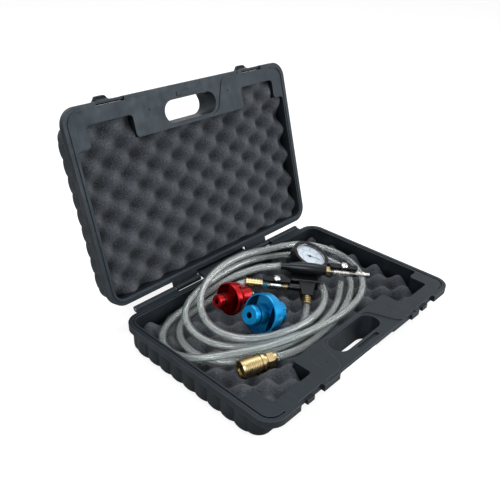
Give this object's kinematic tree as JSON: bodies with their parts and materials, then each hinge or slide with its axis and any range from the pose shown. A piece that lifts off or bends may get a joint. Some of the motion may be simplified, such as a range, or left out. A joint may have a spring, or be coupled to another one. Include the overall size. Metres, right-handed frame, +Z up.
{
  "type": "radiator pressure tester",
  "caption": "Radiator pressure tester kit in an open moulded case: gauge and venturi tester with ball valves, clear hoses, quick coupler and screw-on filler neck adapters.",
  "frame": {"origin": "below the middle of the case's rim, on the surface it stands on", "axes": "+X along the hinge, +Y from the handle towards the hinge, +Z up"},
  "size_m": [0.38, 0.3624, 0.2874],
  "materials": {
    "case_plastic": "moulded, fine grain",
    "steel": "plain",
    "foam": "open cell foam, convoluted",
    "black_plastic": "satin",
    "black_rubber": "matte",
    "brass": "turned",
    "nickel": "nickel plated",
    "chrome": "polished",
    "teal_plastic": "satin",
    "dial": "printed",
    "lens": "clear",
    "needle_black": "matte",
    "blue_anodised": "anodised, turned",
    "red_anodised": "anodised, turned",
    "clear_hose": "clear flexible"
  },
  "bodies": {
    "base": {"case_base": "case_plastic", "base_foam": "foam", "hinge_pins": "steel"},
    "lid": {"case_lid": "case_plastic", "lid_foam": "foam", "latch_pin_left": "steel", "latch_pin_right": "steel"},
    "latch_left": {"latch_left": "case_plastic"},
    "latch_right": {"latch_right": "case_plastic"},
    "tester": {"air_hex_adapter": "brass", "air_plug": "nickel", "air_valve_body": "nickel", "bourdon_tube": "brass", "connection_hose": "clear_hose", "connection_hose_ferrule": "brass", "coupler_balls": "steel", "coupler_body": "brass", "coupler_hose_nut": "brass", "coupler_seal": "black_rubber", "coupler_spring": "steel", "drain_hose": "clear_hose", "fill_hose": "clear_hose", "fill_hose_collar": "teal_plastic", "fill_hose_ferrule": "brass", "fill_valve_body": "nickel", "fill_valve_end": "brass", "gauge_boot": "black_rubber", "gauge_case": "steel", "gauge_dial": "dial", "gauge_lens": "lens", "gauge_movement": "brass", "gauge_stem": "brass", "hose_barb": "brass", "hose_crimp": "black_plastic", "manifold_block": "black_plastic", "manifold_neck": "black_plastic", "venturi_barrel": "black_plastic", "venturi_jet": "brass"},
    "air_lever": {"air_valve_ball": "nickel", "air_valve_stem": "nickel", "air_valve_lever": "black_plastic", "air_lever_nut": "chrome"},
    "fill_lever": {"fill_valve_ball": "nickel", "fill_valve_stem": "nickel", "fill_valve_lever": "black_plastic", "fill_lever_nut": "chrome"},
    "needle": {"gauge_needle": "needle_black"},
    "coupler_sleeve": {"coupler_sleeve": "brass"},
    "coupler_poppet": {"coupler_poppet": "brass"},
    "blue_adapter": {"blue_adapter_body": "blue_anodised", "blue_adapter_nipple": "brass", "blue_adapter_seal": "black_rubber"},
    "red_adapter": {"red_adapter_body": "red_anodised", "red_adapter_nipple": "brass", "red_adapter_seal": "black_rubber"}
  },
  "joints": [
    {"name": "lid_hinge", "type": "hinge", "parent": "base", "child": "lid", "pos_m": [0, 0.135, 0.0376], "axis": [-1, 0, 0], "range_deg": [-105.7, 0]},
    {"name": "latch_left_hinge", "type": "hinge", "parent": "lid", "child": "latch_left", "pos_m": [-0.122, 0.21162, 0.28396], "axis": [-1, 0, 0], "range_deg": [-165, 0]},
    {"name": "latch_right_hinge", "type": "hinge", "parent": "lid", "child": "latch_right", "pos_m": [0.122, 0.21162, 0.28396], "axis": [-1, 0, 0], "range_deg": [-165, 0]},
    {"name": "tester_lift", "type": "slide", "parent": "base", "child": "tester", "axis": [0, 0, 1], "range_m": [0, 0.12]},
    {"name": "blue_adapter_lift", "type": "slide", "parent": "base", "child": "blue_adapter", "axis": [0, 0, 1], "range_m": [0, 0.12]},
    {"name": "red_adapter_lift", "type": "slide", "parent": "base", "child": "red_adapter", "axis": [0, 0, 1], "range_m": [0, 0.12]},
    {"name": "air_lever_turn", "type": "hinge", "parent": "tester", "child": "air_lever", "pos_m": [0.09956, -0.00285, 0.04189], "axis": [-0.0678, -0.1358, 0.9884], "range_deg": [0, 90]},
    {"name": "fill_lever_turn", "type": "hinge", "parent": "tester", "child": "fill_lever", "pos_m": [0.02101, 0.05384, 0.02962], "axis": [-0.0678, -0.1358, 0.9884], "range_deg": [0, 90]},
    {"name": "needle_turn", "type": "hinge", "parent": "tester", "child": "needle", "pos_m": [0.09851, 0.05957, 0.03521], "axis": [0.1228, -0.3534, 0.9274], "range_deg": [-270, 0], "stiffness_Nm_per_rad": 0.0005},
    {"name": "coupler_sleeve_slide", "type": "slide", "parent": "tester", "child": "coupler_sleeve", "axis": [0.9527, -0.304, 0], "range_m": [0, 0.004], "stiffness_N_per_m": 900},
    {"name": "coupler_poppet_slide", "type": "slide", "parent": "tester", "child": "coupler_poppet", "axis": [0.9527, -0.304, 0], "range_m": [0, 0.003], "stiffness_N_per_m": 400}
  ]
}
